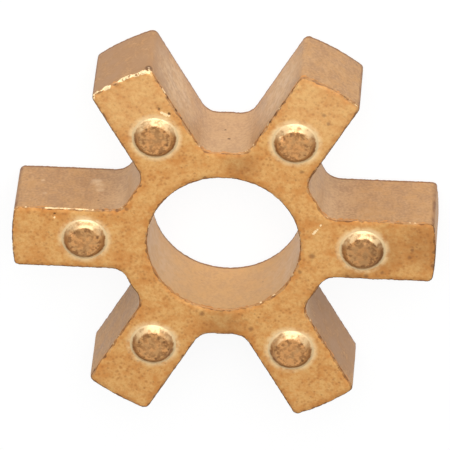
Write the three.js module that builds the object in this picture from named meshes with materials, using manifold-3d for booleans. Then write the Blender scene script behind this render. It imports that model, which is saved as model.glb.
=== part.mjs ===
// Jaw coupling spider: a six-legged star of pressed and sintered bronze that sits between the
// jaws of two coupling hubs. One solid piece. Millimetres, +Z along the shaft axis, lying on the
// buttons of its lower face with the shaft axis through the origin.

import * as THREE from 'three';
import { mergeVertices } from 'three/addons/utils/BufferGeometryUtils.js';
import Module from 'manifold-3d';

const wasm = await Module();
wasm.setup();

// Star
const LEG_COUNT = 6;
const OUTER_DIAMETER = 53.6;
const LEG_WIDTH = 8.7;
const LEG_END_CORNER = 0.8;
const BODY_THICKNESS = 10.4;

// Ring that joins the legs
const RING_DIAMETER = 26.9;
const BORE_DIAMETER = 19.2;
const ROOT_FILLET = 2.4;

// Narrow chamfer that the press tool leaves round every face
const EDGE_BREAK = 0.12;

// Buttons that space the star off the hub faces, one on each face of each leg
const BUTTON_CIRCLE_DIAMETER = 35.1;
const BUTTON_DIAMETER = 5.3;
const BUTTON_HEIGHT = 0.8;
const BUTTON_SHOULDER = 0.45;
const BUTTON_FOOT_FILLET = 0.3;

// Finish of sintered bronze
const BRONZE_COLOUR = 0xcf9c66;
const BRONZE_ROUGHNESS = 0.62;
const BRONZE_METALNESS = 0.55;

// Facets: half the steps along each arc of the outline, then the steps of a button
const ARC_DIVISIONS = 5;
const BUTTON_SIDES = 24;
const SHOULDER_STEPS = 3;
const FOOT_STEPS = 2;

// Distance that a button's root reaches into the leg before the two are joined
const BUTTON_ROOT = 0.5;

// Working sizes
const outerRadius = OUTER_DIAMETER / 2;
const ringRadius = RING_DIAMETER / 2;
const boreRadius = BORE_DIAMETER / 2;
const halfLeg = LEG_WIDTH / 2;
const legAngle = (2 * Math.PI) / LEG_COUNT;
const lowerFace = BUTTON_HEIGHT;
const upperFace = BUTTON_HEIGHT + BODY_THICKNESS;

// A root fillet can be no larger than the space between two legs
const valleySine = Math.sin(legAngle / 2);
const rootFillet = Math.min(ROOT_FILLET, (ringRadius * valleySine - halfLeg) / (1 - valleySine));

// Polar angle of a point that lies at a distance from the centre and at an offset from a leg's axis
function angleAt(distance, offset) {
  return Math.asin(offset / distance);
}

// The point at a polar angle and a distance from the shaft axis
function pointAt(angle, distance) {
  return new THREE.Vector2(distance * Math.cos(angle), distance * Math.sin(angle));
}

// One leg, from the middle of the valley before it to the middle of the valley after it
function addLeg(outline, legAxis) {
  const fillet = ringRadius + rootFillet;
  const filletAngle = angleAt(fillet, halfLeg + rootFillet);
  const corner = outerRadius - LEG_END_CORNER;
  const cornerAngle = angleAt(corner, halfLeg - LEG_END_CORNER);
  const rootBefore = pointAt(legAxis - filletAngle, fillet);
  const endBefore = pointAt(legAxis - cornerAngle, corner);
  const endAfter = pointAt(legAxis + cornerAngle, corner);
  const rootAfter = pointAt(legAxis + filletAngle, fillet);
  const left = legAxis + Math.PI / 2;
  const right = legAxis - Math.PI / 2;
  const inBefore = legAxis - filletAngle + Math.PI;
  const inAfter = legAxis + filletAngle - Math.PI;

  outline.absarc(0, 0, ringRadius, legAxis - legAngle / 2, legAxis - filletAngle, false);
  outline.absarc(rootBefore.x, rootBefore.y, rootFillet, inBefore, left, true);
  outline.absarc(endBefore.x, endBefore.y, LEG_END_CORNER, right, legAxis - cornerAngle, false);
  outline.absarc(0, 0, outerRadius, legAxis - cornerAngle, legAxis + cornerAngle, false);
  outline.absarc(endAfter.x, endAfter.y, LEG_END_CORNER, legAxis + cornerAngle, left, false);
  outline.absarc(rootAfter.x, rootAfter.y, rootFillet, right, inAfter, true);
  outline.absarc(0, 0, ringRadius, legAxis + filletAngle, legAxis + legAngle / 2, false);
}

// The bore, drawn as one arc for each leg so that it is as smooth as the outline
function boreOutline() {
  const bore = new THREE.Path();
  for (let leg = LEG_COUNT; leg > 0; leg -= 1) {
    bore.absarc(0, 0, boreRadius, leg * legAngle, (leg - 1) * legAngle, true);
  }
  return bore;
}

// The star with its bore, both faces chamfered all round
function starGeometry() {
  const outline = new THREE.Shape();
  for (let leg = 0; leg < LEG_COUNT; leg += 1) {
    addLeg(outline, leg * legAngle);
  }
  outline.holes.push(boreOutline());
  const star = new THREE.ExtrudeGeometry(outline, {
    depth: BODY_THICKNESS - 2 * EDGE_BREAK,
    curveSegments: ARC_DIVISIONS,
    bevelThickness: EDGE_BREAK,
    bevelSize: EDGE_BREAK,
    bevelOffset: -EDGE_BREAK,
    bevelSegments: 1,
  });
  return star.translate(0, 0, lowerFace + EDGE_BREAK);
}

// Points of an arc in a button's profile, between two angles about its centre
function profileArc(centre, radius, start, end, steps) {
  const arc = new THREE.ArcCurve(centre.x, centre.y, radius, start, end, end < start);
  return arc.getPoints(steps);
}

// A button standing on z = 0: a flat top, a round shoulder and a hollow fillet at its foot
function buttonGeometry() {
  const radius = BUTTON_DIAMETER / 2;
  const footFillet = Math.min(BUTTON_FOOT_FILLET, BUTTON_HEIGHT / 2);
  const shoulder = Math.min(BUTTON_SHOULDER, BUTTON_HEIGHT - footFillet, radius / 2);
  const footCentre = new THREE.Vector2(radius + footFillet, footFillet);
  const shoulderCentre = new THREE.Vector2(radius - shoulder, BUTTON_HEIGHT - shoulder);
  const profile = [
    new THREE.Vector2(0, -BUTTON_ROOT),
    new THREE.Vector2(radius + footFillet, -BUTTON_ROOT),
    ...profileArc(footCentre, footFillet, -Math.PI / 2, -Math.PI, FOOT_STEPS),
    ...profileArc(shoulderCentre, shoulder, 0, Math.PI / 2, SHOULDER_STEPS),
    new THREE.Vector2(0, BUTTON_HEIGHT),
  ];
  return new THREE.LatheGeometry(profile, BUTTON_SIDES).rotateX(Math.PI / 2);
}

// A closed geometry as a solid that can be joined to others
function solidOf(geometry) {
  const bare = geometry.clone();
  bare.deleteAttribute('normal');
  bare.deleteAttribute('uv');
  const closed = mergeVertices(bare);
  return new wasm.Manifold(new wasm.Mesh({
    numProp: 3,
    vertProperties: new Float32Array(closed.attributes.position.array),
    triVerts: new Uint32Array(closed.index.array),
  }));
}

// A joined solid as a geometry with flat facets
function geometryOf(solid) {
  const mesh = solid.getMesh();
  const geometry = new THREE.BufferGeometry();
  geometry.setAttribute('position', new THREE.BufferAttribute(mesh.vertProperties, mesh.numProp));
  geometry.setIndex(new THREE.BufferAttribute(mesh.triVerts, 1));
  const faceted = geometry.toNonIndexed();
  faceted.computeVertexNormals();
  return faceted;
}

// The star with a button on each face of each leg
function spiderGeometry() {
  let solid = solidOf(starGeometry());
  for (let leg = 0; leg < LEG_COUNT; leg += 1) {
    const angle = leg * legAngle;
    const seat = pointAt(angle, BUTTON_CIRCLE_DIAMETER / 2);
    const upper = buttonGeometry().rotateZ(angle).translate(seat.x, seat.y, upperFace);
    const lower = buttonGeometry().rotateX(Math.PI).rotateZ(angle).translate(seat.x, seat.y, lowerFace);
    solid = solid.add(solidOf(upper)).add(solidOf(lower));
  }
  return geometryOf(solid);
}

// Sintered bronze, matt and a little metallic
function bronze() {
  return new THREE.MeshStandardMaterial({
    color: BRONZE_COLOUR,
    roughness: BRONZE_ROUGHNESS,
    metalness: BRONZE_METALNESS,
  });
}

const spider = new THREE.Mesh(spiderGeometry(), bronze());
spider.name = 'spider';

const group = new THREE.Group();
group.add(spider);

export default group;
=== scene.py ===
"""A jaw coupling spider of pressed and sintered bronze, lying flat on a plain studio floor."""

from math import asin, cos, pi, radians, sin

import bmesh
import bpy
from bpy.props import FloatProperty, FloatVectorProperty, IntProperty, PointerProperty
from bpy.types import Operator, Panel, PropertyGroup
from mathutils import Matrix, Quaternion, Vector
from mathutils.kdtree import KDTree


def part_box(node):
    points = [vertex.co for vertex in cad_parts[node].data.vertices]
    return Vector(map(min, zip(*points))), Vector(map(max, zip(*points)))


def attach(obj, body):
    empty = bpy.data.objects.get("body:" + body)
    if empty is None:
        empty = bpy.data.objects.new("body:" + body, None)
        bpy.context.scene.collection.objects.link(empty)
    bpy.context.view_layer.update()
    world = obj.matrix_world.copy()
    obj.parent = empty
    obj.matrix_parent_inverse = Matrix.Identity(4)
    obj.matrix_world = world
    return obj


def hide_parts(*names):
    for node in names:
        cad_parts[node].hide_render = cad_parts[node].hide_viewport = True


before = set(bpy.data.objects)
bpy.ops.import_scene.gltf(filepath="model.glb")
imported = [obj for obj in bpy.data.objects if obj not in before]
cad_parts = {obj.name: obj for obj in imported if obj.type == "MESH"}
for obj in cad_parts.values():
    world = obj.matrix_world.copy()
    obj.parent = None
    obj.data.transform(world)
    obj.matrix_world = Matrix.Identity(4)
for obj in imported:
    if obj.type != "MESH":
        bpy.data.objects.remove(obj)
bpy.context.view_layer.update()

bl_info = {
    "name": "Jaw Coupling Spider",
    "version": (1, 0, 0),
    "blender": (4, 5, 0),
    "location": "3D View > Sidebar > Coupling",
    "description": "Builds a sintered bronze spider for a jaw coupling, and the studio it lies in",
    "category": "Add Mesh",
}

# The solid part that the spider stands for, and what it hangs on
SOLID = "spider"
BODY = "root"

# Millimetres and micrometres in metres
MM = 0.001
MICRON = 0.000001

# Two corners that are closer than this are one
WELD = 1.5 * MICRON

CAD_LOW, CAD_HIGH = (Vector(corner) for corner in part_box(SOLID))

# The leg pattern
LEGS = 6
SECTOR = 2 * pi / LEGS

# Steps along half a leg's outline, from the valley to the leg's axis
VALLEY_STEPS = 6
FILLET_STEPS = 16
FLANK_STEPS = 62
CORNER_STEPS = 9
END_STEPS = 22
BORE_STEPS = 26

# Steps of the rounded edge, and of half a button
EDGE_STEPS = 3
BUTTON_STEPS = 26
SKIRT_STEPS = 3
SIDE_STEPS = 9
TOP_STEPS = 9

# Rows up half a wall and rows beside an edge of the face, as heights and widths
WALL_ROWS = [1.0, 0.9, 0.8, 0.7, 0.5, 0.4, 0.3, 0.2, 0.14]
FACE_ROWS = [0.1 * MM, 0.14 * MM, 0.2 * MM]

# Spacing of the cuts that divide the rest of the face
FACE_CELL = 0.3 * MM

# How far the unevenness of the struck edges reaches into the faces and walls
EDGE_REACH = 0.55 * MM

# Hollows of the pressed powder: where, how wide and deep, the share that stands out, and their direction
HOLLOWS = [
    ("walls", 2.5 * MM, 0.04 * MM, 0.0, "NORMAL"),
    ("edges", 0.7 * MM, 0.08 * MM, 0.2, "NORMAL"),
    ("edges", 0.25 * MM, 0.1 * MM, 0.2, "NORMAL"),
    ("upper_edges", 0.9 * MM, 0.22 * MM, 0.3, "Z"),
    ("faces", 0.5 * MM, 0.02 * MM, 0.5, "NORMAL"),
    ("buttons", 0.4 * MM, 0.07 * MM, 0.0, "NORMAL"),
]

# How far one step of the seed moves the grain
SEED_STEP = 7 * MM

# Corners sharper than this stay sharp
SMOOTH_ANGLE = radians(40)

# A button's side: how much of its rise is a rounded S, and how its straight part steepens
ROUND_SHARE = 0.25
SLOPE_POWER = 1.35

# Heights of the upper face and of the upper buttons' tops in millimetres, for the marks
UPPER_FACE = 11.2
BUTTON_TOP = 12.0

# Pits, dents and bumps seen on the part: a place, a move and a reach in millimetres. The first leg lies at
# 60 degrees from +X and the second at 120, and the left and right legs lie along X.
MARKS = {
    "pit at the corner of the second leg": ((-9.63, 25.24, UPPER_FACE), (0.05, -0.2, -0.2), 0.5),
    "burr beside that pit": ((-10.3, 24.7, UPPER_FACE), (0, 0, 0.16), 0.5),
    "burr, second lump": ((-11.1, 24.35, UPPER_FACE), (0, 0, 0.12), 0.6),
    "burr, third lump": ((-12.3, 23.75, UPPER_FACE), (0, 0, 0.15), 0.7),
    "burr, fourth lump": ((-13.6, 23.0, UPPER_FACE), (0, 0, 0.16), 0.6),
    "burr, fifth lump": ((-14.6, 22.4, UPPER_FACE), (0, 0, 0.13), 0.7),
    "burr, last lump": ((-15.8, 21.6, UPPER_FACE), (0, 0, 0.15), 0.6),
    "nick over the second leg's button": ((-8.35, 19.36, UPPER_FACE), (0, 0, -0.2), 0.45),
    "pit on the left leg": ((-21.34, 3.31, UPPER_FACE), (0, 0, -0.2), 0.45),
    "bump on the left leg's wall": ((-16.05, 4.35, 5.13), (0, 0.16, 0), 1.6),
    "dent beside that bump": ((-17.6, 4.35, 4.6), (0, -0.12, 0), 1.4),
    "deep pit on the first leg's button": ((7.05, 16.35, BUTTON_TOP), (0, 0, -0.35), 0.6),
    "second pit on that button": ((8.35, 16.85, BUTTON_TOP), (0, 0, -0.25), 0.5),
    "lip between the two pits": ((7.7, 16.9, BUTTON_TOP), (0, 0.1, -0.02), 0.4),
    "chip on the left leg's button": ((-19.0, 1.3, BUTTON_TOP), (0, -0.05, -0.2), 0.6),
    "chip on the right leg's button": ((17.9, 1.7, BUTTON_TOP), (0, -0.1, -0.2), 0.8),
}

# Dark specks and stains, and bright rubbed spots: a place and a radius in millimetres
STAINS = [
    ((-9.63, 25.24, UPPER_FACE), 0.45),
    ((-8.35, 19.36, UPPER_FACE), 0.3),
    ((-7.05, 18.75, UPPER_FACE), 0.28),
    ((-21.34, 3.45, UPPER_FACE), 0.25),
    ((7.05, 16.35, BUTTON_TOP), 0.45),
    ((8.35, 16.75, BUTTON_TOP), 0.4),
]
RUBBED = [
    ((-8.0, 18.85, UPPER_FACE), 0.26),
    ((-7.7, 18.7, UPPER_FACE), 0.26),
    ((-7.4, 18.58, UPPER_FACE), 0.24),
    ((-7.1, 18.45, UPPER_FACE), 0.2),
    ((11.3, 2.1, UPPER_FACE), 0.17),
    ((11.45, 2.3, UPPER_FACE), 0.19),
    ((11.6, 2.5, UPPER_FACE), 0.19),
    ((11.8, 2.75, UPPER_FACE), 0.17),
    ((12.18, 3.38, UPPER_FACE), 0.18),
    ((-21.36, 2.95, UPPER_FACE), 0.17),
    ((16.45, 21.21, UPPER_FACE), 0.4),
]

# Broad brown bloom of the oil on the faces, smaller smudges, and where the faces are palest, partly painted
# light on the two upper legs nearest the key light
BLOOM = [
    ((2.0, 11.7, UPPER_FACE), 3.5),
    ((20.0, 0.0, UPPER_FACE), 6.0),
    ((25.0, 1.0, UPPER_FACE), 6.0),
    ((16.5, -4.5, UPPER_FACE), 3.0),
    ((0.0, -12.0, UPPER_FACE), 4.5),
]
SMUDGES = [
    ((23.5, -0.8, UPPER_FACE), 0.45),
    ((23.8, 0.3, UPPER_FACE), 0.35),
    ((11.2, -1.2, UPPER_FACE), 0.6),
    ((9.7, -3.6, UPPER_FACE), 0.4),
    ((18.1, -3.8, UPPER_FACE), 0.5),
    ((15.7, -4.0, UPPER_FACE), 0.4),
    ((20.1, -3.2, UPPER_FACE), 0.4),
    ((3.7, -12.4, UPPER_FACE), 0.5),
    ((-2.6, -10.4, UPPER_FACE), 0.5),
    ((-2.9, -9.1, UPPER_FACE), 0.4),
    ((12.3, 19.4, UPPER_FACE), 0.4),
    ((12.9, 18.2, UPPER_FACE), 0.4),
    ((9.7, 11.1, UPPER_FACE), 0.4),
    ((-13.5, -10.7, UPPER_FACE), 0.4),
    ((-12.3, 4.6, UPPER_FACE), 0.4),
]
PALE_AND_LIT_FACES = [((-11.5, 20.5, UPPER_FACE), 9.0), ((11.5, 20.5, UPPER_FACE), 9.0)]

# Painted shade on the walls: the second leg's end, and the flank of the lower right leg, which the right leg
# shades
PAINTED_SHADE_WALLS = [((-13.4, 23.2, 6.0), 9.0), ((13.8, -15.1, 6.0), 8.0)]

# Paler walls: painted light on the flanks of the two upper legs and on the sides of the bore, and a pale
# rough patch on the left leg
PALE_AND_LIT_WALLS = [
    ((-6.3, 19.6, 6.0), 7.5),
    ((6.3, 19.6, 6.0), 7.5),
    ((-9.2, -2.8, 7.0), 9.0),
    ((9.2, -2.8, 7.0), 9.0),
    ((-16.0, 4.35, 6.2), 0.8),
    ((-16.1, 4.35, 5.2), 0.9),
    ((-16.5, 4.35, 4.3), 1.1),
    ((-22.84, 4.35, 7.65), 0.4),
    ((-23.33, 4.35, 4.48), 0.4),
]

# Heights between which the painted shade, a dark line along the foot of the walls, fades out
SHADE_LINE_HEIGHTS = (1.1 * MM, 1.4 * MM)

# Dark specks on the walls
WALL_STAINS = [
    ((-9.66, 25.0, 10.5), 0.8),
    ((0.31, 13.4, 7.71), 0.25),
    ((-0.31, 13.4, 5.53), 0.2),
]

# Pale glint in the pit at the second leg's end
PIT_GLINT = [((-9.66, 25.0, 10.45), 0.3)]

# Dark pits seen along the edges of the upper face
EDGE_PITS = [
    ((-15.25, 4.35, UPPER_FACE), 0.32),
    ((-14.36, 4.35, UPPER_FACE), 0.32),
    ((-13.48, 4.35, UPPER_FACE), 0.32),
    ((6.67, 20.1, UPPER_FACE), 0.3),
    ((6.18, 19.21, UPPER_FACE), 0.3),
    ((5.58, 18.16, UPPER_FACE), 0.3),
    ((4.6, 16.96, UPPER_FACE), 0.3),
    ((-7.86, 22.44, UPPER_FACE), 0.3),
    ((-7.22, 21.03, UPPER_FACE), 0.34),
    ((-2.45, 9.64, UPPER_FACE), 0.34),
    ((26.6, 0.1, UPPER_FACE), 0.35),
    ((26.5, -1.9, UPPER_FACE), 0.4),
]

# Edge of the left leg that is rubbed bright
BRIGHT_EDGES = [((-19.5, 4.4, UPPER_FACE), 3.2)]

# The leg end that carries the bright burr
BURRED_END = [((-13.45, 23.3, UPPER_FACE), 4.3)]


# The studio: width of the floor in metres and of the camera's sensor in millimetres, and the band across the
# sky, from -Y to +Y, in which its light rises to full strength
FLOOR_SIZE = 3.0
SENSOR_WIDTH = 36
SKY_FADE = (-0.85, 0.35)


def length_setting(name, description, default, least):
    """A length that the sidebar shows"""
    return FloatProperty(
        name=name, description=description, default=default, min=least, unit="LENGTH", precision=5,
    )


def colour_setting(name, description, default):
    """A colour that the sidebar shows"""
    return FloatVectorProperty(
        name=name, description=description, default=default, min=0, max=1, size=3, subtype="COLOR",
    )


class SpiderShape(PropertyGroup):
    """Sizes of the spider"""

    outer_diameter: length_setting(
        "Outer Diameter", "Across two opposite leg ends", CAD_HIGH.x - CAD_LOW.x, 0.02,
    )
    height: length_setting("Height", "Over the buttons of both faces", CAD_HIGH.z - CAD_LOW.z, 0.002)
    leg_width: length_setting("Leg Width", "Between the two flanks of a leg", 8.7 * MM, 0.001)
    leg_end_corner: length_setting(
        "Leg End Corner", "Radius between a flank and the leg's end", 0.8 * MM, 0.0001,
    )
    ring_diameter: length_setting(
        "Ring Diameter", "Across the ring, at the roots of the legs", 26.9 * MM, 0.005,
    )
    bore_diameter: length_setting("Bore Diameter", "Across the hole in the ring", 19.2 * MM, 0.004)
    root_fillet: length_setting("Root Fillet", "Radius between the ring and a flank", 2.4 * MM, 0.0002)
    edge_radius: length_setting(
        "Edge Radius", "Rounding between the faces and the walls", 0.15 * MM, 0.00002,
    )
    button_circle: length_setting(
        "Button Circle", "Diameter of the circle that the buttons stand on", 35.1 * MM, 0.01,
    )
    button_foot: length_setting(
        "Button Foot", "Diameter of a button where its side meets the face", 5.9 * MM, 0.0005,
    )
    button_flat: length_setting(
        "Button Flat", "Diameter of a button's flat top, inside its rounded side", 4.0 * MM, 0.0003,
    )
    button_height: length_setting("Button Height", "From the face to a button's top", 0.8 * MM, 0.0001)
    foot_skirt: length_setting(
        "Foot Skirt", "Width of the burnished ring on the face round a button", 0.42 * MM, 0.00005,
    )


class SpiderFinish(PropertyGroup):
    """Colours and grain of the bronze"""

    face_light: colour_setting("Face, Light", "Golden tone of the pressed faces", (0.71, 0.40, 0.135))
    face_dark: colour_setting("Face, Dark", "Orange brown tone of the pressed faces", (0.58, 0.24, 0.055))
    wall_light: colour_setting(
        "Wall, Light", "Tone of the walls, which slid along the die", (0.49, 0.265, 0.105),
    )
    # Also the painted shade on some walls
    wall_dark: colour_setting("Wall, Dark", "Darker blotches on the walls", (0.33, 0.17, 0.075))
    # Yellower and lighter than the walls: painted light for the light that bounces round inside the bore
    bore: colour_setting("Bore", "Yellower tone of the bore", (0.64, 0.38, 0.16))
    wall_root: colour_setting("Wall, Root", "Greyer tone of the walls near the ring", (0.55, 0.34, 0.175))
    # Also the painted light on some walls and the painted glint in a pit
    wall_pale_and_lit: colour_setting("Wall, Pale", "Palest tone of the walls", (0.68, 0.48, 0.29))
    top: colour_setting("Button Top", "Pinkish brown of the buttons' coarse tops", (0.64, 0.31, 0.11))
    freckle: colour_setting("Freckle", "Red brown of the small freckles", (0.40, 0.15, 0.035))
    pore: colour_setting("Pore", "Colour in the pores and specks", (0.10, 0.035, 0.01))
    # Also the painted highlight on the buttons' sides and painted light on the upper legs' faces
    burnish_and_highlight: colour_setting("Burnish", "Pale metal rubbed bright", (0.93, 0.70, 0.39))
    button_side: colour_setting(
        "Button Side", "Warm metal of the buttons' pressed sides", (0.46, 0.22, 0.07),
    )
    # Also the painted shade along the foot of the walls and on the buttons' far rims
    edge: colour_setting("Edge", "Red brown metal of the struck edges", (0.22, 0.09, 0.028))
    # Also the painted shade on the struck edges that face away from +Y
    tarnish: colour_setting("Tarnish", "Dark metal along the edges", (0.08, 0.033, 0.012))
    metallic: FloatProperty(
        name="Metallic", description="How metallic the pressed powder looks",
        default=0.35, min=0, max=1, subtype="FACTOR",
    )
    grain_size: length_setting("Grain Size", "Size of the powder grains", 0.22 * MM, 0.00001)
    seed: IntProperty(
        name="Seed", description="Moves the grain and the broken edges along",
        default=3, min=0,
    )


class StudioSettings(PropertyGroup):
    """Camera, floor and lights"""

    lens: FloatProperty(
        name="Lens", description="Focal length of the long lens",
        default=0.65992, min=0.01, unit="LENGTH",
    )
    distance: FloatProperty(
        name="Distance", description="From the camera to the point it aims at",
        default=1.03984, min=0.1, unit="LENGTH",
    )
    azimuth: FloatProperty(
        name="Azimuth", description="Direction from the part to the camera, from +X towards +Y",
        default=radians(85.34), unit="ROTATION",
    )
    elevation: FloatProperty(
        name="Elevation", description="Height of the camera over the horizon",
        default=radians(58.77), unit="ROTATION",
    )
    roll: FloatProperty(
        name="Roll", description="Turn of the camera about its own axis",
        default=radians(-173.65), unit="ROTATION",
    )
    aim: FloatVectorProperty(
        name="Aim", description="Point in the middle of the picture",
        default=(0.00009, 0.0021, 0.00992), size=3, subtype="XYZ", unit="LENGTH", precision=5,
    )
    floor_colour: colour_setting("Floor", "Colour of the floor and backdrop", (1.0, 1.0, 1.0))
    key_power: FloatProperty(
        name="Key Light", description="Power of the large lamp over the near side",
        default=1.45, min=0, unit="POWER",
    )
    key_distance: FloatProperty(
        name="Key Distance", description="From the part to the key light",
        default=0.35, min=0.05, unit="LENGTH",
    )
    key_size: FloatProperty(
        name="Key Size", description="Width of the key light",
        default=0.34, min=0.01, unit="LENGTH",
    )
    key_azimuth: FloatProperty(
        name="Key Azimuth", description="Direction from the part to the key light",
        default=radians(84), unit="ROTATION",
    )
    key_elevation: FloatProperty(
        name="Key Elevation", description="Height of the key light over the horizon",
        default=radians(52), unit="ROTATION",
    )
    sky_level: FloatProperty(
        name="Sky", description="Strength of the even light from all round",
        default=0.7, min=0,
    )
    sky_shade: FloatProperty(
        name="Sky Shade", description="Strength of the sky away from the key light, as a share of the rest",
        default=0.3, min=0, max=1, subtype="FACTOR",
    )
    floor_glow: FloatProperty(
        name="Floor Glow", description="Share of the floor's white that no shadow dims",
        default=0.9, min=0, max=1, subtype="FACTOR",
    )


# Node helpers

def new_material(name):
    """A material with an empty node tree"""
    material = bpy.data.materials.new(name)
    material.use_nodes = True
    material.node_tree.nodes.clear()
    return material


def add(tree, kind, inputs=None, **settings):
    """Adds a node, sets it up, and links or sets its inputs"""
    node = tree.nodes.new(kind)
    for name, value in settings.items():
        setattr(node, name, value)
    for name, value in (inputs or {}).items():
        if isinstance(value, bpy.types.NodeSocket):
            tree.links.new(value, node.inputs[name])
        else:
            node.inputs[name].default_value = value
    return node


def maths(tree, operation, first, second=0.0):
    """The result of a sum on two values"""
    return add(tree, "ShaderNodeMath", {0: first, 1: second}, operation=operation).outputs[0]


def times(tree, first, second):
    """The product of two values"""
    return maths(tree, "MULTIPLY", first, second)


def ramp(tree, value, start, end, low=0.0, high=1.0):
    """A value mapped smoothly from one range to another"""
    inputs = {"Value": value, "From Min": start, "From Max": end, "To Min": low, "To Max": high}
    return add(tree, "ShaderNodeMapRange", inputs, interpolation_type="SMOOTHSTEP").outputs[0]


def mixed(tree, share, first, second):
    """Two colours mixed by a share"""
    inputs = {0: share}
    for socket, value in ((6, first), (7, second)):
        inputs[socket] = value if isinstance(value, bpy.types.NodeSocket) else (*value, 1.0)
    return add(tree, "ShaderNodeMix", inputs, data_type="RGBA").outputs[2]


def tinted(tree, colour, where, strength, tint):
    """A colour with a tint laid over it at a strength, where a mask is 1"""
    return mixed(tree, times(tree, where, strength), colour, tint)


def noise(tree, place, size, detail=2.0, roughness=0.5):
    """Cloudy noise with features of a size in metres"""
    inputs = {"Vector": place, "Scale": 1 / size, "Detail": detail, "Roughness": roughness}
    return add(tree, "ShaderNodeTexNoise", inputs).outputs[0]


def spots(tree, place, spacing, radius, softness=0.4):
    """Round spots scattered at a spacing in metres, each 1 in its middle and 0 outside"""
    inputs = {"Vector": place, "Scale": 1 / spacing, "Randomness": 1.0}
    distance = add(tree, "ShaderNodeTexVoronoi", inputs).outputs["Distance"]
    reach = radius / spacing
    return ramp(tree, distance, reach * (1 - softness), reach, 1.0, 0.0)


# Modelling helpers

def start_object(name):
    """An empty mesh object at the origin, left in edit mode"""
    bpy.ops.object.select_all(action="DESELECT")
    bpy.ops.mesh.primitive_plane_add(size=MM, location=(0, 0, 0))
    piece = bpy.context.object
    piece.name = name
    piece.data.name = name
    bpy.ops.object.mode_set(mode="EDIT")
    bpy.ops.mesh.select_all(action="SELECT")
    bpy.ops.mesh.delete(type="VERT")
    return piece


def select_where(kind, test):
    """In edit mode, selects just the vertices, edges or faces that pass a test"""
    bpy.ops.mesh.select_all(action="DESELECT")
    bpy.ops.mesh.select_mode(type={"verts": "VERT", "edges": "EDGE", "faces": "FACE"}[kind])
    mesh = bpy.context.object.data
    edit = bmesh.from_edit_mesh(mesh)
    count = 0
    for part in getattr(edit, kind):
        if not part.hide and test(part):
            part.select_set(True)
            count += 1
    edit.select_flush_mode()
    bmesh.update_edit_mesh(mesh)
    return count


def select_at(point):
    """Selects the one vertex at a point"""
    if select_where("verts", lambda vertex: (vertex.co - Vector(point)).length < WELD) != 1:
        raise RuntimeError(f"no single corner lies at {tuple(point)}")


def put_point(point):
    """Adds one vertex and leaves it selected alone"""
    bpy.ops.mesh.select_all(action="DESELECT")
    bpy.ops.mesh.select_mode(type="VERT")
    bpy.ops.mesh.primitive_plane_add(size=MM, location=point)
    bpy.ops.mesh.merge(type="CENTER")


def trace(points):
    """Extrudes the selected vertex, which lies at the first point, through the others"""
    for start, end in zip(points, points[1:]):
        step = Vector(end) - Vector(start)
        bpy.ops.mesh.extrude_vertices_move(TRANSFORM_OT_translate={"value": step})


def line(start, end, steps):
    """Points along a straight line, both ends included"""
    start, end = Vector(start), Vector(end)
    return [start.lerp(end, step / steps) for step in range(steps + 1)]


def plan_arc(centre, radius, start, end, steps, height=0.0):
    """Points along an arc in plan, between two angles about its centre"""
    angles = [start + (end - start) * step / steps for step in range(steps + 1)]
    return [
        Vector((centre[0] + radius * cos(angle), centre[1] + radius * sin(angle), height))
        for angle in angles
    ]


def joined(*runs):
    """Several runs of points as one, with the shared ends taken once"""
    points = list(runs[0])
    for run in runs[1:]:
        points += run[1:]
    return points


# The star

def half_leg_outline(shape):
    """Plan of half a leg, from the middle of the valley to the middle of the leg's end"""
    half = shape.leg_width / 2
    ring = shape.ring_diameter / 2
    outer = shape.outer_diameter / 2
    to_fillet = ring + shape.root_fillet
    fillet_angle = asin((half + shape.root_fillet) / to_fillet)
    fillet = (to_fillet * cos(fillet_angle), half + shape.root_fillet)
    to_corner = outer - shape.leg_end_corner
    corner_angle = asin((half - shape.leg_end_corner) / to_corner)
    corner = (to_corner * cos(corner_angle), half - shape.leg_end_corner)
    return joined(
        plan_arc((0, 0), ring, SECTOR / 2, fillet_angle, VALLEY_STEPS),
        plan_arc(fillet, shape.root_fillet, fillet_angle + pi, 1.5 * pi, FILLET_STEPS),
        line((fillet[0], half, 0), (corner[0], half, 0), FLANK_STEPS),
        plan_arc(corner, shape.leg_end_corner, pi / 2, corner_angle, CORNER_STEPS),
        plan_arc((0, 0), outer, corner_angle, 0, END_STEPS),
    )


def raise_walls(shape):
    """Outline and bore of half a leg, drawn in the middle plane and extruded up to the edge"""
    outline = half_leg_outline(shape)
    put_point(outline[0])
    trace(outline)
    bore = plan_arc((0, 0), shape.bore_diameter / 2, 0, SECTOR / 2, BORE_STEPS)
    put_point(bore[0])
    trace(bore)
    wall = shape.height / 2 - shape.button_height - shape.edge_radius
    bpy.ops.mesh.select_all(action="SELECT")
    for row in WALL_ROWS:
        rise = wall * row / sum(WALL_ROWS)
        bpy.ops.mesh.extrude_edges_move(TRANSFORM_OT_translate={"value": (0, 0, rise)})
    return wall


def close_face(shape, wall):
    """The face of half a leg as one polygon, with a half round left out for the button"""
    skirt = shape.button_foot / 2 + shape.foot_skirt
    middle = shape.button_circle / 2
    tip = Vector((shape.outer_diameter / 2, 0, wall))
    bore = Vector((shape.bore_diameter / 2, 0, wall))
    select_at(tip)
    trace(joined(
        [tip, Vector((middle + skirt, 0, wall))],
        plan_arc((middle, 0), skirt, 0, pi, BUTTON_STEPS, wall),
        [Vector((middle - skirt, 0, wall)), bore],
    ))
    valley = plan_arc((0, 0), shape.ring_diameter / 2, SECTOR / 2, 0, 1, wall)[0]
    select_at(valley)
    trace([valley, plan_arc((0, 0), shape.bore_diameter / 2, SECTOR / 2, 0, 1, wall)[0]])
    bpy.ops.mesh.select_all(action="SELECT")
    bpy.ops.mesh.remove_doubles(threshold=WELD)
    select_where("verts", lambda vertex: abs(vertex.co.z - wall) < WELD)
    bpy.ops.mesh.edge_face_add()


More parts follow.
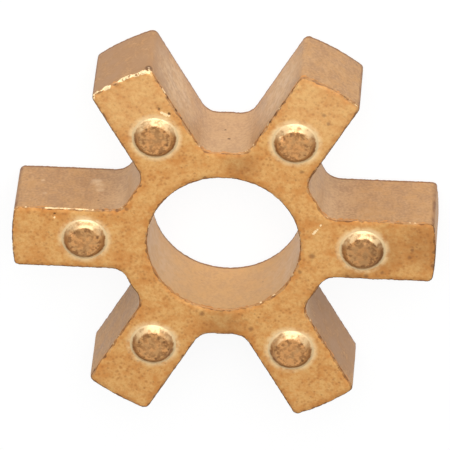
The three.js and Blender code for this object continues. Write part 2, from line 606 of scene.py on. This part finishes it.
def select_face_polygon(height):
    """Selects the one large polygon at a height"""
    found = select_where("faces", lambda face: abs(face.normal.z) > 0.9 and len(face.verts) > 8
                         and abs(face.calc_center_median().z - height) < WELD)
    if found != 1:
        raise RuntimeError(f"{found} polygons lie at the height of the face")


def round_edge(shape, wall):
    """Rounds the edge between the walls and the face in steps, then adds rows beside it"""
    select_face_polygon(wall)
    edit = bmesh.from_edit_mesh(bpy.context.object.data)
    if [face for face in edit.faces if face.select][0].normal.z < 0:
        bpy.ops.mesh.flip_normals()
    radius = shape.edge_radius
    for step in range(EDGE_STEPS):
        start = step * pi / 2 / EDGE_STEPS
        end = (step + 1) * pi / 2 / EDGE_STEPS
        bpy.ops.mesh.inset(use_boundary=False, thickness=radius * (cos(start) - cos(end)))
        bpy.ops.transform.translate(value=(0, 0, radius * (sin(end) - sin(start))))
    for width in FACE_ROWS:
        bpy.ops.mesh.inset(use_boundary=False, thickness=width)


def divide_face(shape):
    """Cuts the large polygon of the face into small cells"""
    select_face_polygon(shape.height / 2 - shape.button_height)
    bpy.ops.mesh.hide(unselected=True)
    reach = Vector((shape.outer_diameter / 2, shape.ring_diameter / 2))
    for axis, length in enumerate(reach):
        normal = [0.0, 0.0, 0.0]
        normal[axis] = 1.0
        for cut in range(1, int(length / FACE_CELL)):
            point = [0.0, 0.0, 0.0]
            point[axis] = cut * FACE_CELL
            bpy.ops.mesh.select_all(action="SELECT")
            bpy.ops.mesh.bisect(plane_co=point, plane_no=normal, threshold=0.1 * MICRON)
    bpy.ops.mesh.reveal(select=False)


def button_profile(shape, face):
    """Half section of a button, from the burnished ring round its foot to the middle of its top"""
    middle = shape.button_circle / 2
    foot = shape.button_foot / 2
    flat = shape.button_flat / 2
    side = []
    for step in range(SIDE_STEPS + 1):
        share = step / SIDE_STEPS
        rise = ROUND_SHARE * (1 - cos(pi * share)) / 2 + (1 - ROUND_SHARE) * share ** SLOPE_POWER
        height = face + shape.button_height * rise
        side.append(Vector((middle + foot + (flat - foot) * share, 0, height)))
    return joined(
        line((middle + foot + shape.foot_skirt, 0, face), (middle + foot, 0, face), SKIRT_STEPS),
        side,
        line(side[-1], (middle, 0, face + shape.button_height), TOP_STEPS),
    )


def spin_button(shape, face):
    """Half a button, its section spun half round and joined to the face"""
    profile = button_profile(shape, face)
    put_point(profile[0])
    trace(profile)
    select_where("verts", lambda vertex: abs(vertex.co.y) < WELD and not vertex.link_faces)
    bpy.ops.mesh.spin(
        steps=BUTTON_STEPS, angle=-pi,
        center=(shape.button_circle / 2, 0, 0), axis=(0, 0, 1),
    )
    bpy.ops.mesh.select_all(action="SELECT")
    bpy.ops.mesh.remove_doubles(threshold=WELD)


def complete_star(piece, shape):
    """Mirrors the half leg to a whole one, both faces alike, and repeats it round the shaft axis"""
    bpy.ops.object.mode_set(mode="OBJECT")
    mirror = piece.modifiers.new("both_sides", "MIRROR")
    mirror.use_axis = (False, True, True)
    mirror.merge_threshold = WELD
    bpy.ops.object.modifier_apply(modifier=mirror.name)
    bpy.ops.object.mode_set(mode="EDIT")
    bpy.ops.mesh.select_all(action="SELECT")
    bpy.ops.mesh.spin(
        dupli=True, steps=LEGS - 1, angle=-SECTOR * (LEGS - 1), center=(0, 0, 0), axis=(0, 0, 1),
    )
    bpy.ops.mesh.select_all(action="SELECT")
    bpy.ops.mesh.remove_doubles(threshold=WELD)
    bpy.ops.mesh.normals_make_consistent(inside=False)
    bpy.ops.transform.translate(value=(0, 0, CAD_LOW.z + shape.height / 2))
    bpy.ops.mesh.select_mode(type="VERT")
    bpy.ops.mesh.select_all(action="DESELECT")
    bpy.ops.mesh.select_non_manifold()
    open_corners = sum(vertex.select for vertex in bmesh.from_edit_mesh(piece.data).verts)
    if open_corners:
        raise RuntimeError(f"the star has {open_corners} open corners")
    bpy.ops.object.mode_set(mode="OBJECT")


# Unevenness of the pressed powder

def surface_kind(shape, point):
    """Names the surface that a point lies on, told by its height"""
    middle = CAD_LOW.z + shape.height / 2
    level = abs(point.z - middle)
    face = shape.height / 2 - shape.button_height
    if level < face - 1.02 * shape.edge_radius:
        return "walls"
    if level < face - 0.5 * MICRON:
        return "edges"
    if level < face + 0.5 * MICRON:
        return "faces"
    return "buttons"


def group_surfaces(piece, shape):
    """Sorts the corners into vertex groups, and keeps their distances from the edges for the materials"""
    points = [vertex.co.copy() for vertex in piece.data.vertices]
    kinds = [surface_kind(shape, point) for point in points]
    edges = [point for point, kind in zip(points, kinds) if kind == "edges"]
    tree = KDTree(len(edges))
    for index, point in enumerate(edges):
        tree.insert(point, index)
    tree.balance()
    distances = [tree.find(point)[2] for point in points]
    piece.data.attributes.new("edge_distance", "FLOAT", "POINT").data.foreach_set("value", distances)
    names = ("walls", "edges", "upper_edges", "faces", "buttons")
    groups = {name: piece.vertex_groups.new(name=name) for name in names}
    middle = CAD_LOW.z + shape.height / 2
    for index, (kind, distance) in enumerate(zip(kinds, distances)):
        groups[kind].add([index], 1.0, "REPLACE")
        if kind in ("walls", "faces") and distance < EDGE_REACH:
            groups["edges"].add([index], 1 - distance / EDGE_REACH, "REPLACE")
        if kind in ("walls", "faces", "edges") and distance < EDGE_REACH and points[index].z > middle:
            groups["upper_edges"].add([index], 1 - distance / EDGE_REACH, "REPLACE")


def roughen(piece, group, size, depth, rise, along):
    """Presses cloudy hollows into a group of corners, and lets a share of their depth stand out"""
    texture = bpy.data.textures.new(f"{group}_hollows", "CLOUDS")
    texture.noise_scale = size
    texture.noise_depth = 2
    hollows = piece.modifiers.new(texture.name, "DISPLACE")
    hollows.texture = texture
    hollows.texture_coords = "LOCAL"
    hollows.direction = along
    hollows.vertex_group = group
    hollows.strength = depth
    hollows.mid_level = 1 - rise
    bpy.ops.object.modifier_apply(modifier=hollows.name)


def press_marks(piece):
    """Moves the surface in or out at each mark, fading out within its reach"""
    bpy.ops.object.mode_set(mode="EDIT")
    for place, move, reach in MARKS.values():
        point = Vector(place) * MM
        edit = bmesh.from_edit_mesh(piece.data)
        nearest = min((vertex.co - point).length for vertex in edit.verts)
        select_where("verts", lambda vertex: (vertex.co - point).length <= nearest + WELD)
        bpy.ops.transform.translate(
            value=Vector(move) * MM, use_proportional_edit=True,
            proportional_edit_falloff="SMOOTH", proportional_size=reach * MM,
        )
    bpy.ops.object.mode_set(mode="OBJECT")


# Finishes

def object_place(tree, finish):
    """Places on the piece, moved along by the seed so that the grain changes"""
    place = add(tree, "ShaderNodeTexCoord").outputs["Object"]
    shift = [finish.seed * SEED_STEP] * 3
    return place, add(tree, "ShaderNodeMapping", {"Vector": place, "Location": shift}).outputs[0]


def bronze_shader(tree, metallic, colour, roughness, height, depth):
    """Closes a bronze material: its colour, roughness and relief on one metallic shader"""
    bump = add(tree, "ShaderNodeBump", {"Height": height, "Strength": 1.0, "Distance": depth}).outputs[0]
    inputs = {"Base Color": colour, "Roughness": roughness, "Metallic": metallic, "Normal": bump}
    shader = add(tree, "ShaderNodeBsdfPrincipled", inputs)
    add(tree, "ShaderNodeOutputMaterial", {"Surface": shader.outputs[0]})


def near(tree, place, marks, softness=0.6):
    """1 at any of the marks and 0 beyond their radii, with uneven outlines"""
    share = None
    wobble = add(tree, "ShaderNodeTexNoise", {"Vector": place, "Scale": 1 / (0.5 * MM)}).outputs["Color"]
    centred = {0: wobble, 1: (0.5, 0.5, 0.5)}
    shift = add(tree, "ShaderNodeVectorMath", centred, operation="SUBTRACT").outputs[0]
    moves = {0: shift, 1: (0.3 * MM, 0.3 * MM, 0.0), 2: place}
    place = add(tree, "ShaderNodeVectorMath", moves, operation="MULTIPLY_ADD").outputs[0]
    for point, radius in marks:
        inputs = {0: place, 1: tuple(Vector(point) * MM)}
        distance = add(tree, "ShaderNodeVectorMath", inputs, operation="DISTANCE").outputs["Value"]
        here = ramp(tree, distance, radius * MM * (1 - softness), radius * MM, 1.0, 0.0)
        share = here if share is None else maths(tree, "MAXIMUM", share, here)
    return share


def from_axis(tree, place):
    """Distance from the shaft axis"""
    flat = add(tree, "ShaderNodeVectorMath", {0: place, 1: (1, 1, 0)}, operation="MULTIPLY").outputs[0]
    return add(tree, "ShaderNodeVectorMath", {0: flat}, operation="LENGTH").outputs["Value"]


def edge_distance(tree):
    """Distance from the nearest struck edge, kept on the mesh"""
    return add(tree, "ShaderNodeAttribute", attribute_name="edge_distance").outputs["Fac"]


def edge_dots(tree, place):
    """Small dark pits strewn along the struck edges"""
    dots = spots(tree, place, 1.2 * MM, 0.32 * MM, 0.5)
    some = ramp(tree, noise(tree, place, 3.5 * MM), 0.46, 0.54)
    beside = ramp(tree, edge_distance(tree), 0.1 * MM, 0.25 * MM, 1.0, 0.0)
    strewn = times(tree, times(tree, dots, some), beside)
    return maths(tree, "MAXIMUM", strewn, near(tree, place, EDGE_PITS, 0.5))


def strayed(tree, place, start, end):
    """1 where a neighbour's colour strays over an edge, by up to a third of a millimetre"""
    reach = ramp(tree, noise(tree, place, 0.9 * MM, 2.0), start, end, 0.0, 0.36 * MM)
    left = maths(tree, "SUBTRACT", reach, edge_distance(tree))
    return ramp(tree, left, 0.0, 0.06 * MM)


def leg_direction(tree, place):
    """Cosine and sine of the direction of the nearest leg"""
    split = add(tree, "ShaderNodeSeparateXYZ", {0: place})
    angle = maths(tree, "ARCTAN2", split.outputs[1], split.outputs[0])
    leg = maths(tree, "SNAP", maths(tree, "ADD", angle, SECTOR / 2), SECTOR)
    return maths(tree, "COSINE", leg), maths(tree, "SINE", leg)


def end_corners(tree, shape, place):
    """1 on the rounded corners between flanks and leg ends that lie to the left and right"""
    split = add(tree, "ShaderNodeSeparateXYZ", {0: place})
    cosine, sine = leg_direction(tree, place)
    along = maths(tree, "ADD", times(tree, split.outputs[0], cosine),
                  times(tree, split.outputs[1], sine))
    offset = maths(tree, "SUBTRACT", times(tree, split.outputs[1], cosine),
                   times(tree, split.outputs[0], sine))
    half = shape.leg_width / 2
    outer = shape.outer_diameter / 2
    beside = ramp(tree, maths(tree, "ABSOLUTE", offset), half - 0.75 * MM, half - 0.4 * MM)
    corner = times(tree, beside, ramp(tree, along, outer - 0.9 * MM, outer - 0.5 * MM))
    sideways = ramp(tree, maths(tree, "ABSOLUTE", split.outputs[0]), 0.45 * outer, 0.55 * outer)
    return times(tree, corner, sideways)


def nearest_button(tree, shape, place):
    """Distance in plan from the nearest button's middle, and how far towards +Y that way leans"""
    split = add(tree, "ShaderNodeSeparateXYZ", {0: place})
    cosine, sine = leg_direction(tree, place)
    radius = shape.button_circle / 2
    away_x = maths(tree, "SUBTRACT", split.outputs[0], times(tree, cosine, radius))
    away_y = maths(tree, "SUBTRACT", split.outputs[1], times(tree, sine, radius))
    away = add(tree, "ShaderNodeCombineXYZ", {0: away_x, 1: away_y}).outputs[0]
    distance = add(tree, "ShaderNodeVectorMath", {0: away}, operation="LENGTH").outputs["Value"]
    return distance, maths(tree, "DIVIDE", away_y, distance)


def burr(tree, place, marks, width):
    """1 along a bright burr within the marks, as far as an uneven width from the edge"""
    gaps = ramp(tree, noise(tree, place, 0.7 * MM, 3.0, 0.6), 0.38, 0.46)
    here = times(tree, near(tree, place, marks, 0.08), gaps)
    uneven = ramp(tree, noise(tree, place, 1.1 * MM, 2.0), 0.35, 0.6, 0.0, width)
    left = maths(tree, "SUBTRACT", uneven, edge_distance(tree))
    return times(tree, here, ramp(tree, left, -0.03 * MM, 0.03 * MM))


def face_finish(shape, finish):
    """The pressed faces: golden, matt and granular, browner at the edges and in the oil's bloom"""
    material = new_material("pressed_face")
    tree = material.node_tree
    place, grain_place = object_place(tree, finish)
    grain = finish.grain_size
    cloud = noise(tree, grain_place, 3.2 * MM, 3.0)
    mottle = noise(tree, grain_place, 4.5 * grain, 3.0)
    fine = noise(tree, grain_place, 1.8 * grain, 3.0, 0.7)
    tone = maths(tree, "ADD", times(tree, cloud, 0.4), times(tree, mottle, 0.6))
    brown = near(tree, place, BLOOM, 0.9)
    bloom = times(tree, brown, 0.08)
    rim = ramp(tree, edge_distance(tree), 0.1 * MM, 1.2 * MM, 0.09, 0.0)
    tone = maths(tree, "SUBTRACT", maths(tree, "SUBTRACT", tone, bloom), rim)
    colour = mixed(tree, ramp(tree, tone, 0.28, 0.62), finish.face_dark, finish.face_light)
    colour = mixed(tree, ramp(tree, fine, 0.3, 0.6, 0.6, 0.0), colour, finish.face_dark)
    freckles = spots(tree, grain_place, 2.4 * grain, 1.3 * grain, 1.0)
    thick = ramp(tree, cloud, 0.4, 0.6, 0.7, 0.3)
    colour = mixed(tree, times(tree, freckles, thick), colour, finish.freckle)
    spread = strayed(tree, grain_place, 0.2, 0.75)
    colour = tinted(tree, colour, spread, ramp(tree, mottle, 0.35, 0.6, 0.95, 0.5), finish.edge)
    colour = tinted(tree, colour, brown, 0.24, finish.tarnish)
    colour = tinted(tree, colour, near(tree, place, SMUDGES, 0.8), 0.6, finish.edge)
    # Paler upper legs: a paler tone, partly painted light nearest the key light
    colour = tinted(tree, colour, near(tree, place, PALE_AND_LIT_FACES, 0.8), 0.1, finish.burnish_and_highlight)
    colour = tinted(tree, colour, strayed(tree, place, 0.5, 0.62), 0.7, finish.wall_light)
    rare = ramp(tree, noise(tree, grain_place, 2.2 * MM), 0.46, 0.64, 0.15, 1.0)
    pores = times(tree, spots(tree, grain_place, 3.4 * grain, 0.9 * grain, 0.8), rare)
    colour = tinted(tree, colour, pores, 0.35, finish.edge)
    colour = tinted(tree, colour, edge_dots(tree, place), 0.7, finish.edge)
    distance, _lean = nearest_button(tree, shape, place)
    foot = shape.button_foot / 2
    ring = times(tree, ramp(tree, distance, foot, foot + 0.7 * MM, 1.0, 0.0),
                 ramp(tree, mottle, 0.3, 0.6, 0.15, 0.6))
    colour = mixed(tree, ring, colour, finish.burnish_and_highlight)
    flecks = maths(tree, "MAXIMUM", near(tree, place, RUBBED, 0.4), spots(tree, place, 6 * MM, 0.14 * MM))
    flecks = maths(tree, "MAXIMUM", flecks, burr(tree, place, BURRED_END, 0.36 * MM))
    flecks = maths(tree, "MAXIMUM", flecks, burr(tree, place, BRIGHT_EDGES, 0.16 * MM))
    colour = mixed(tree, flecks, colour, finish.burnish_and_highlight)
    colour = tinted(tree, colour, near(tree, place, STAINS), 0.85, finish.pore)
    height = maths(tree, "SUBTRACT", maths(tree, "ADD", fine, times(tree, mottle, 2.0)), pores)
    roughness = ramp(tree, fine, 0.2, 0.8, 0.66, 0.54)
    roughness = maths(tree, "SUBTRACT", roughness, times(tree, ring, 0.15))
    bronze_shader(tree, finish.metallic, colour, roughness, height, 0.022 * MM)
    return material


def wall_finish(shape, finish):
    """The walls that slid along the die: tan, smoother, softly blotched, greyer near the ring, with painted
    light and painted shade on some walls
    """
    material = new_material("die_wall")
    tree = material.node_tree
    place, grain_place = object_place(tree, finish)
    blotch = noise(tree, grain_place, 2.0 * MM, 3.0)
    drag_place = add(tree, "ShaderNodeMapping", {"Vector": grain_place, "Scale": (1, 1, 0.2)}).outputs[0]
    drag = noise(tree, drag_place, 0.4 * MM, 2.0)
    fine = noise(tree, grain_place, 1.6 * finish.grain_size, 3.0)
    reach = from_axis(tree, place)
    tone = maths(tree, "ADD", times(tree, blotch, 0.4), times(tree, drag, 0.1))
    tone = maths(tree, "ADD", tone, times(tree, fine, 0.5))
    colour = mixed(tree, ramp(tree, reach, 14.5 * MM, 18.5 * MM), finish.wall_root, finish.wall_light)
    # The bore's tone carries painted light for the light that bounces inside it
    colour = mixed(tree, ramp(tree, reach, 11 * MM, 12 * MM), finish.bore, colour)
    # Painted shade on the second leg's end and on the shaded flank of the lower right leg
    tone = maths(tree, "SUBTRACT", tone, times(tree, near(tree, place, PAINTED_SHADE_WALLS, 0.4), 0.12))
    patch = ramp(tree, noise(tree, grain_place, 1.1 * MM, 3.0, 0.6), 0.42, 0.62, 0.0, 0.3)
    colour = mixed(tree, patch, colour, finish.wall_root)
    inside = ramp(tree, reach, 11 * MM, 17 * MM, 0.25, 0.75)
    shade = times(tree, ramp(tree, tone, 0.36, 0.6, 1.0, 0.0), inside)
    colour = mixed(tree, shade, colour, finish.wall_dark)
    # Painted light on the upper legs' flanks and the bore's sides, and a pale patch on the left leg
    broken = ramp(tree, noise(tree, grain_place, 0.8 * MM, 3.0, 0.6), 0.4, 0.6, 0.3, 0.65)
    pale = times(tree, near(tree, place, PALE_AND_LIT_WALLS, 0.8), broken)
    colour = mixed(tree, pale, colour, finish.wall_pale_and_lit)
    colour = mixed(tree, strayed(tree, place, 0.56, 0.3), colour, finish.face_dark)
    # Painted shade: a dark line along the foot of the walls
    level = add(tree, "ShaderNodeSeparateXYZ", {0: place}).outputs["Z"]
    low = ramp(tree, level, *SHADE_LINE_HEIGHTS, 0.9, 0.0)
    colour = mixed(tree, low, colour, finish.edge)
    dull = ramp(tree, noise(tree, grain_place, 1.2 * MM, 3.0), 0.35, 0.6, 0.9, 0.4)
    colour = mixed(tree, times(tree, end_corners(tree, shape, place), dull), colour, finish.edge)
    colour = tinted(tree, colour, edge_dots(tree, place), 0.7, finish.edge)
    colour = tinted(tree, colour, near(tree, place, WALL_STAINS), 0.8, finish.pore)
    colour = mixed(tree, near(tree, place, PIT_GLINT), colour, finish.wall_pale_and_lit)
    pores = spots(tree, grain_place, 3.4 * MM, 0.24 * MM, 0.9)
    colour = tinted(tree, colour, pores, 0.5, finish.tarnish)
    colour = mixed(tree, burr(tree, place, BURRED_END, 0.3 * MM), colour, finish.burnish_and_highlight)
    height = maths(tree, "ADD", fine, times(tree, drag, 0.2))
    bronze_shader(tree, finish.metallic, colour, ramp(tree, blotch, 0.3, 0.7, 0.5, 0.62), height, 0.012 * MM)
    return material


def edge_finish(finish):
    """The struck edges: tarnished metal, rubbed bright in places and most along one leg's burred end, with
    painted light on the edges that face +Y and painted shade on those that face away
    """
    material = new_material("struck_edge")
    tree = material.node_tree
    place, grain_place = object_place(tree, finish)
    broken = noise(tree, grain_place, 0.5 * MM, 3.0, 0.6)
    stretch = noise(tree, grain_place, 3.0 * MM, 2.0)
    worn = ramp(tree, maths(tree, "ADD", broken, times(tree, stretch, 0.8)), 1.04, 1.16)
    rubbed = maths(tree, "MAXIMUM", times(tree, worn, 0.8), burr(tree, place, BURRED_END, 1 * MM))
    bare = ramp(tree, noise(tree, grain_place, 0.9 * MM, 2.0), 0.36, 0.52)
    colour = mixed(tree, bare, finish.tarnish, finish.edge)
    reach = from_axis(tree, place)
    # Painted light and shade: edges whose normal points towards +Y, the key light's side, are painted
    # lighter, and those facing away keep the dark tarnish
    normal = add(tree, "ShaderNodeNewGeometry").outputs["Normal"]
    toward_key_light = add(tree, "ShaderNodeSeparateXYZ", {0: normal}).outputs["Y"]
    lit_edge_share = ramp(tree, noise(tree, grain_place, 1.6 * MM, 3.0, 0.6), 0.46, 0.6, 0.0, 0.5)
    lit_edge_share = maths(tree, "MAXIMUM", lit_edge_share, ramp(tree, reach, 14 * MM, 17 * MM, 0.45, 0.0))
    lit_edge_share = times(tree, lit_edge_share, ramp(tree, toward_key_light, -0.3, 0.2))
    colour = mixed(tree, lit_edge_share, colour, finish.face_dark)
    colour = mixed(tree, ramp(tree, toward_key_light, 0.1, 0.5, 0.0, 0.45), colour, finish.wall_light)
    colour = tinted(tree, colour, edge_dots(tree, place), 0.85, finish.tarnish)
    bright = times(tree, burr(tree, place, BRIGHT_EDGES, 1 * MM), 0.8)
    rubbed = maths(tree, "MAXIMUM", rubbed, bright)
    colour = mixed(tree, rubbed, colour, finish.burnish_and_highlight)
    colour = mixed(tree, near(tree, place, STAINS), colour, finish.pore)
    bronze_shader(tree, finish.metallic, colour, 0.55, broken, 0.03 * MM)
    return material


def button_finish(shape, finish):
    """The buttons: a coarse pinkish top, and a side rubbed smooth and pale by the press, with a painted
    highlight on the +Y half of the side
    """
    material = new_material("button")
    tree = material.node_tree
    place, grain_place = object_place(tree, finish)
    grain = 1.5 * finish.grain_size
    mottle = noise(tree, grain_place, 2.8 * grain, 3.0)
    fine = noise(tree, grain_place, 1.5 * grain, 2.0, 0.5)
    colour = mixed(tree, ramp(tree, mottle, 0.38, 0.62, 0.8, 0.0), finish.top, finish.wall_light)
    flat = shape.button_flat / 2
    foot = shape.button_foot / 2
    distance, lean = nearest_button(tree, shape, place)
    distance = maths(tree, "ADD", distance, times(tree, fine, 0.36 * MM))
    distance = maths(tree, "SUBTRACT", distance, 0.18 * MM)
    near_rim = ramp(tree, distance, 0.4 * flat, 0.95 * flat, 0.4, 0.8)
    dark = times(tree, ramp(tree, fine, 0.36, 0.56, 1.0, 0.0), near_rim)
    colour = mixed(tree, dark, colour, finish.edge)
    specks = spots(tree, grain_place, 2.4 * grain, 0.9 * grain, 0.8)
    outer = ramp(tree, distance, 0.5 * flat, 0.9 * flat, 0.1, 0.75)
    colour = mixed(tree, times(tree, specks, outer), colour, finish.pore)
    side = ramp(tree, distance, flat - 0.08 * MM, flat + 0.12 * MM)
    colour = tinted(tree, colour, side, 0.6, finish.button_side)
    rim = ramp(tree, distance, foot - 0.78 * MM, foot - 0.56 * MM)
    uneven = ramp(tree, noise(tree, grain_place, 2.4 * grain, 2.0), 0.38, 0.55, 0.45, 1.0)
    # The dark rim is dirt, painted darker on the side away from +Y as painted shade
    rim = times(tree, times(tree, rim, uneven), ramp(tree, lean, -0.6, 0.4, 1.0, 0.6))
    colour = mixed(tree, rim, colour, finish.edge)
    colour = tinted(tree, colour, near(tree, place, BLOOM, 0.9), 0.35, finish.tarnish)
    skirt = ramp(tree, distance, foot - 0.42 * MM, foot - 0.22 * MM)
    streaks = ramp(tree, noise(tree, grain_place, 2.2 * grain, 3.0, 0.6), 0.35, 0.6, 0.15, 0.65)
    # Painted highlight: the +Y half of each button's side, where the key light would shine on it, is painted
    # pale, over the rubbed ring at its foot
    painted_highlight_crescent = times(tree, side, times(tree, ramp(tree, lean, 0.1, 0.8), streaks))
    rubbed = maths(tree, "MAXIMUM", times(tree, skirt, 0.7), painted_highlight_crescent)
    colour = mixed(tree, rubbed, colour, finish.burnish_and_highlight)
    colour = tinted(tree, colour, near(tree, place, STAINS), 0.8, finish.pore)
    height = times(tree, fine, ramp(tree, side, 0.0, 1.0, 1.0, 0.35))
    bump = add(tree, "ShaderNodeBump", {"Height": height, "Strength": 1.0, "Distance": 0.05 * MM}).outputs[0]
    shader = add(tree, "ShaderNodeBsdfPrincipled", {
        "Base Color": colour, "Metallic": finish.metallic, "Normal": bump,
        "Roughness": ramp(tree, side, 0.0, 1.0, 0.55, 0.36),
        "IOR": 1.6,
        "Specular Tint": (1.0, 0.84, 0.6, 1.0),
    })
    add(tree, "ShaderNodeOutputMaterial", {"Surface": shader.outputs[0]})
    return material


# The pieces, each with its finish

def paint_star(piece, shape, finish):
    """Gives each kind of surface its finish, told apart by its height"""
    finishes = {
        "faces": face_finish(shape, finish),
        "walls": wall_finish(shape, finish),
        "edges": edge_finish(finish),
        "buttons": button_finish(shape, finish),
    }
    for material in finishes.values():
        piece.data.materials.append(material)
    order = list(finishes)
    for polygon in piece.data.polygons:
        polygon.material_index = order.index(surface_kind(shape, polygon.center))


class COUPLING_OT_bronze_spider(Operator):
    """Builds the bronze spider in place of its plain solid"""

    bl_idname = "coupling.bronze_spider"
    bl_label = "Bronze Spider"

    def execute(self, context):
        shape = context.scene.spider_shape
        piece = start_object("bronze_spider")
        wall = raise_walls(shape)
        close_face(shape, wall)
        round_edge(shape, wall)
        spin_button(shape, shape.height / 2 - shape.button_height)
        divide_face(shape)
        complete_star(piece, shape)
        paint_star(piece, shape, context.scene.spider_finish)
        group_surfaces(piece, shape)
        for group, size, depth, rise, along in HOLLOWS:
            roughen(piece, group, size, depth, rise, along)
        press_marks(piece)
        bpy.ops.object.shade_smooth_by_angle(angle=SMOOTH_ANGLE)
        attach(piece, BODY)
        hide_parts(SOLID)
        return {"FINISHED"}


# The studio

def direction(azimuth, elevation):
    """The unit vector that points at an azimuth and an elevation"""
    return Vector((cos(elevation) * cos(azimuth), cos(elevation) * sin(azimuth), sin(elevation)))


def white_background_share(tree):
    """1 for what is seen straight, mirrored or through glass, and 0 for the light that falls on things"""
    path = add(tree, "ShaderNodeLightPath").outputs
    seen = maths(tree, "ADD", path["Is Camera Ray"], path["Is Glossy Ray"])
    inputs = {0: seen, 1: path["Is Transmission Ray"]}
    return add(tree, "ShaderNodeMath", inputs, operation="ADD", use_clamp=True).outputs[0]


def floor_finish(studio):
    """Plain white paper, which glows a little to the camera and keeps the part's shadow"""
    material = new_material("studio_floor")
    tree = material.node_tree
    paper = add(tree, "ShaderNodeBsdfDiffuse", {"Color": (*studio.floor_colour, 1.0)}).outputs[0]
    glow = add(tree, "ShaderNodeEmission", {"Color": (*studio.floor_colour, 1.0), "Strength": 1.0}).outputs[0]
    share = times(tree, white_background_share(tree), studio.floor_glow)
    surface = add(tree, "ShaderNodeMixShader", {0: share, 1: paper, 2: glow}).outputs[0]
    add(tree, "ShaderNodeOutputMaterial", {"Surface": surface})
    return material


def light_sky(studio):
    """Even light from all round, which falls off away from the key light's side"""
    world = bpy.data.worlds.new("studio_sky")
    world.use_nodes = True
    tree = world.node_tree
    tree.nodes.clear()
    towards = add(tree, "ShaderNodeTexCoord").outputs["Generated"]
    side = add(tree, "ShaderNodeSeparateXYZ", {0: towards}).outputs["Y"]
    strength = ramp(tree, side, *SKY_FADE, studio.sky_level * studio.sky_shade, studio.sky_level)
    sky = add(tree, "ShaderNodeBackground", {"Color": (1, 1, 1, 1), "Strength": strength}).outputs[0]
    add(tree, "ShaderNodeOutputWorld", {"Surface": sky})
    bpy.context.scene.world = world


def hang_key_light(studio, target):
    """A large soft lamp aimed at the part"""
    towards = direction(studio.key_azimuth, studio.key_elevation)
    bpy.ops.object.light_add(type="AREA", location=target + towards * studio.key_distance)
    lamp = bpy.context.object
    lamp.name = "key_light"
    lamp.rotation_mode = "QUATERNION"
    lamp.rotation_quaternion = towards.to_track_quat("Z", "Y")
    lamp.data.shape = "SQUARE"
    lamp.data.size = studio.key_size
    lamp.data.energy = studio.key_power


def set_camera(studio):
    """The long-lens camera at the photograph's angle"""
    towards = direction(studio.azimuth, studio.elevation)
    bpy.ops.object.camera_add(location=Vector(studio.aim) + towards * studio.distance)
    camera = bpy.context.object
    camera.name = "studio_camera"
    camera.rotation_mode = "QUATERNION"
    turn = Quaternion((0, 0, 1), studio.roll)
    camera.rotation_quaternion = towards.to_track_quat("Z", "Y") @ turn
    camera.data.lens = studio.lens / MM
    camera.data.sensor_width = SENSOR_WIDTH
    bpy.context.scene.camera = camera


class COUPLING_OT_studio(Operator):
    """Lays the floor, hangs the lights and sets the camera"""

    bl_idname = "coupling.studio"
    bl_label = "Studio"

    def execute(self, context):
        studio = context.scene.studio_settings
        bpy.ops.object.select_all(action="DESELECT")
        bpy.ops.mesh.primitive_plane_add(size=FLOOR_SIZE, location=(0, 0, CAD_LOW.z))
        floor = bpy.context.object
        floor.name = "studio_floor"
        floor.data.materials.append(floor_finish(studio))
        light_sky(studio)
        hang_key_light(studio, (CAD_LOW + CAD_HIGH) / 2)
        set_camera(studio)
        context.scene.view_settings.view_transform = "Standard"
        return {"FINISHED"}


class COUPLING_PT_sidebar(Panel):
    """Buttons and sizes of the coupling spider"""

    bl_idname = "COUPLING_PT_sidebar"
    bl_label = "Coupling Spider"
    bl_space_type = "VIEW_3D"
    bl_region_type = "UI"
    bl_category = "Coupling"

    def draw(self, context):
        for operator in (COUPLING_OT_bronze_spider, COUPLING_OT_studio):
            self.layout.operator(operator.bl_idname)
        for settings in ("spider_shape", "spider_finish", "studio_settings"):
            box = self.layout.box()
            group = getattr(context.scene, settings)
            for name in group.__annotations__:
                box.prop(group, name)


CLASSES = (
    SpiderShape,
    SpiderFinish,
    StudioSettings,
    COUPLING_OT_bronze_spider,
    COUPLING_OT_studio,
    COUPLING_PT_sidebar,
)


def register():
    """Registers the classes and keeps their settings on the scene"""
    for each in CLASSES:
        bpy.utils.register_class(each)
    bpy.types.Scene.spider_shape = PointerProperty(type=SpiderShape)
    bpy.types.Scene.spider_finish = PointerProperty(type=SpiderFinish)
    bpy.types.Scene.studio_settings = PointerProperty(type=StudioSettings)


def unregister():
    """Takes all of it out again"""
    del bpy.types.Scene.studio_settings
    del bpy.types.Scene.spider_finish
    del bpy.types.Scene.spider_shape
    for each in reversed(CLASSES):
        bpy.utils.unregister_class(each)


def main():
    """Builds the part and its studio"""
    register()
    bpy.ops.coupling.bronze_spider()
    bpy.ops.coupling.studio()


if __name__ == "__main__":
    main()
